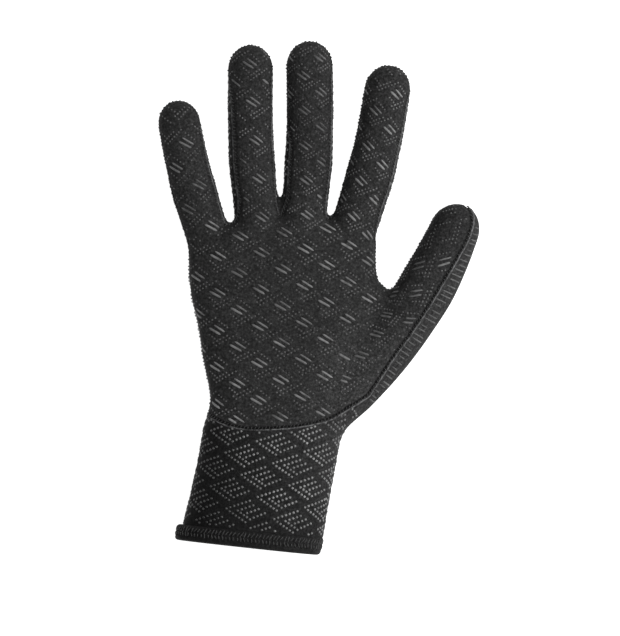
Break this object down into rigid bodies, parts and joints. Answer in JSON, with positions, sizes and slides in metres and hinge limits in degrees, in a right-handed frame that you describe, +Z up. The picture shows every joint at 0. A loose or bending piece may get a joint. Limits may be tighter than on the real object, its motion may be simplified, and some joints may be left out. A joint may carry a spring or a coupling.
{
  "type": "diving glove",
  "caption": "Thin neoprene diving glove for the right hand, palm up, with a printed grip pattern, a seamed palm panel, a long cuff and a stitched hem.",
  "frame": {"origin": "under the middle of the glove's overall box, on the surface it rests on", "axes": "+Y along the fingers, +X towards the thumb, +Z up out of the palm"},
  "size_m": [0.1666, 0.2668, 0.0398],
  "materials": {
    "palm_cloth": "black nylon-faced neoprene with a grey printed grip pattern",
    "back_cloth": "black nylon-faced neoprene with rows of small grey raised dots",
    "hem_cloth": "black nylon binding with overlock stitches"
  },
  "bodies": {
    "root": {"palm_panel": "palm_cloth", "back_panel": "back_cloth", "cuff_hem": "hem_cloth"}
  },
  "joints": []
}
